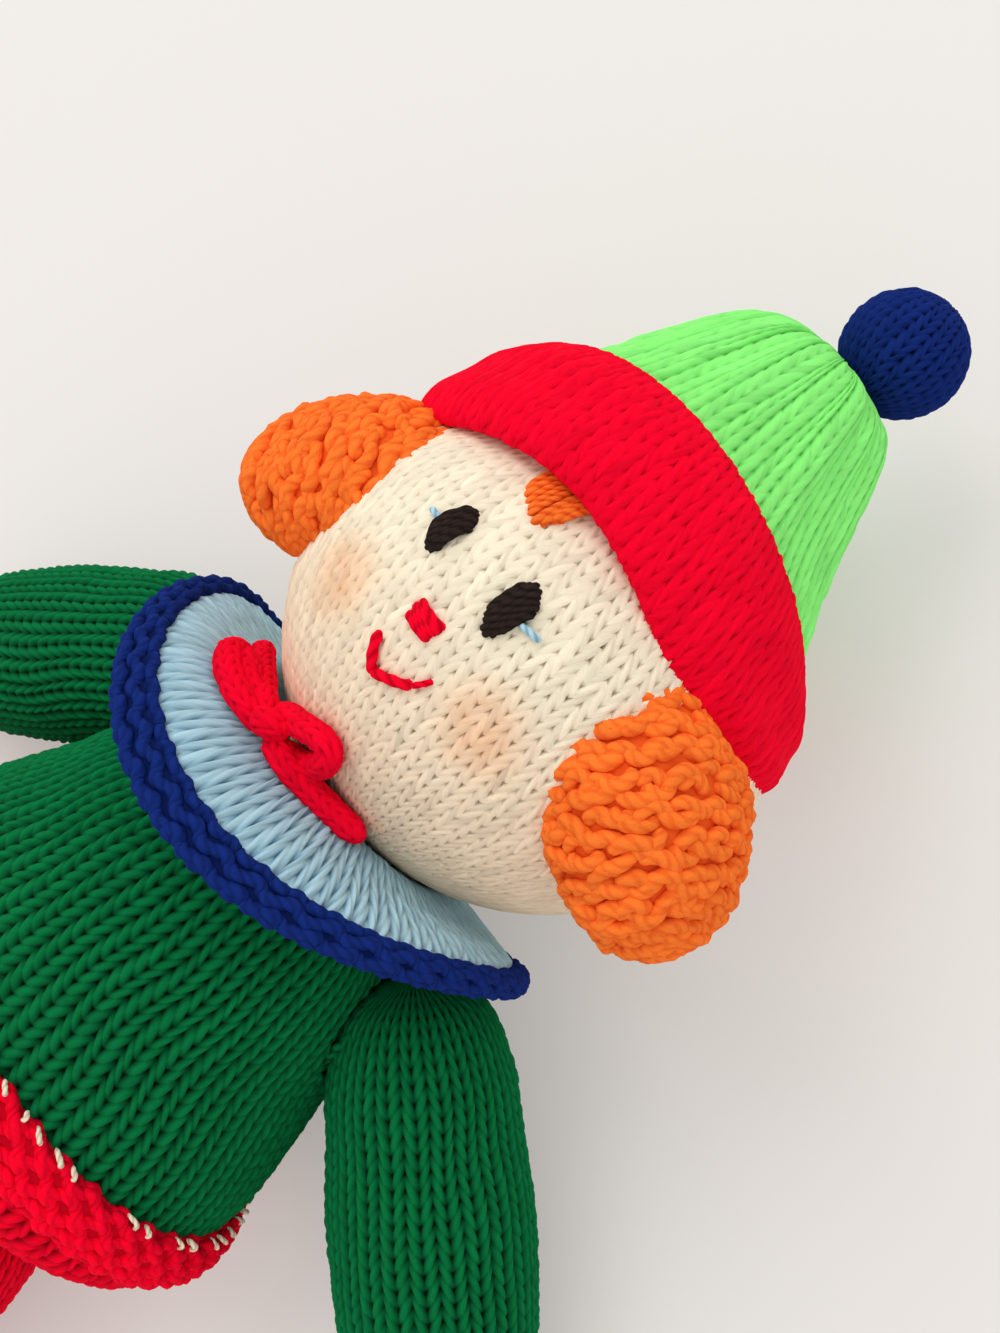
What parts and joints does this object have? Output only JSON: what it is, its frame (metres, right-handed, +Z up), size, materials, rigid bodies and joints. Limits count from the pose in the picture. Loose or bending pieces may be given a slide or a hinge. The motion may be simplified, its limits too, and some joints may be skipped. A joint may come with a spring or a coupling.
{
  "type": "knitted clown doll",
  "caption": "Knitted stuffed clown doll lying on its back, with a pompom hat, puffs of hair, a flared collar with a bow, jumper, trousers and shoes; sewn limbs and head swing at their seams.",
  "frame": {"origin": "middle of the flat on the jumper's back that the doll lies on", "axes": "+Z up out of the chest, +Y towards the hat, +X towards the doll's left hand"},
  "size_m": [0.1955, 0.2827, 0.079],
  "materials": {
    "cream_yarn": "knitted, matt",
    "red_yarn": "knitted, matt",
    "lime_yarn": "knitted, matt",
    "navy_yarn": "knitted, matt",
    "orange_yarn": "knitted, matt",
    "green_yarn": "knitted, matt",
    "pale_blue_yarn": "knitted, matt",
    "dark_yarn": "satin stitch, matt",
    "fibre": "loose fibre, matt"
  },
  "bodies": {
    "torso": {"torso_cover": "green_yarn", "seat_cover": "red_yarn", "body_stuffing": "fibre", "waistband": "red_yarn", "collar": "pale_blue_yarn", "collar_edging": "navy_yarn", "bow": "red_yarn"},
    "neck": {"neck_thread": "cream_yarn"},
    "head": {"head_cover": "cream_yarn", "head_stuffing": "fibre", "eye_right": "dark_yarn", "eye_left": "dark_yarn", "lash_right": "pale_blue_yarn", "lash_left": "pale_blue_yarn", "hair_right": "orange_yarn", "hair_left": "orange_yarn", "hair_stuffing_right": "fibre", "hair_stuffing_left": "fibre", "nose": "red_yarn", "mouth_right": "red_yarn", "mouth_middle": "red_yarn", "mouth_left": "red_yarn", "forelock": "orange_yarn", "hat_cuff": "red_yarn", "hat_crown": "lime_yarn", "hat_stuffing": "fibre"},
    "pompom": {"pompom_cover": "navy_yarn", "pompom_stuffing": "fibre"},
    "shoulder_right": {"shoulder_thread_right": "green_yarn"},
    "arm_right": {"sleeve_right": "green_yarn", "hand_right": "cream_yarn", "arm_stuffing_right": "fibre"},
    "leg_right": {"trouser_leg_right": "red_yarn", "shoe_right": "navy_yarn", "leg_stuffing_right": "fibre"},
    "shoulder_left": {"shoulder_thread_left": "green_yarn"},
    "arm_left": {"sleeve_left": "green_yarn", "hand_left": "cream_yarn", "arm_stuffing_left": "fibre"},
    "leg_left": {"trouser_leg_left": "red_yarn", "shoe_left": "navy_yarn", "leg_stuffing_left": "fibre"}
  },
  "joints": [
    {"name": "neck_turn", "type": "hinge", "parent": "torso", "child": "neck", "pos_m": [0, 0.07, 0.0385], "axis": [0, 1, 0], "range_deg": [-35, 35]},
    {"name": "neck_nod", "type": "hinge", "parent": "neck", "child": "head", "pos_m": [0, 0.07, 0.0385], "axis": [1, 0, 0], "range_deg": [-4, 12]},
    {"name": "pompom_swing", "type": "hinge", "parent": "head", "child": "pompom", "pos_m": [-0.01075, 0.1292, 0.0325], "axis": [1, 0, 0], "range_deg": [-15, 15]},
    {"name": "shoulder_swing_right", "type": "hinge", "parent": "torso", "child": "shoulder_right", "pos_m": [-0.0407, 0.017, 0.0295], "axis": [-1, 0, 0], "range_deg": [0, 120]},
    {"name": "shoulder_spread_right", "type": "hinge", "parent": "shoulder_right", "child": "arm_right", "pos_m": [-0.0407, 0.017, 0.0295], "axis": [0, 0, -1], "range_deg": [0, 40]},
    {"name": "hip_bend_right", "type": "hinge", "parent": "torso", "child": "leg_right", "pos_m": [-0.017, -0.0615, 0.027], "axis": [-1, 0, 0], "range_deg": [0, 70]},
    {"name": "shoulder_swing_left", "type": "hinge", "parent": "torso", "child": "shoulder_left", "pos_m": [0.0407, 0.017, 0.0295], "axis": [-1, 0, 0], "range_deg": [0, 120]},
    {"name": "shoulder_spread_left", "type": "hinge", "parent": "shoulder_left", "child": "arm_left", "pos_m": [0.0407, 0.017, 0.0295], "axis": [0, 0, 1], "range_deg": [0, 28]},
    {"name": "hip_bend_left", "type": "hinge", "parent": "torso", "child": "leg_left", "pos_m": [0.017, -0.0615, 0.027], "axis": [-1, 0, 0], "range_deg": [0, 70]}
  ]
}
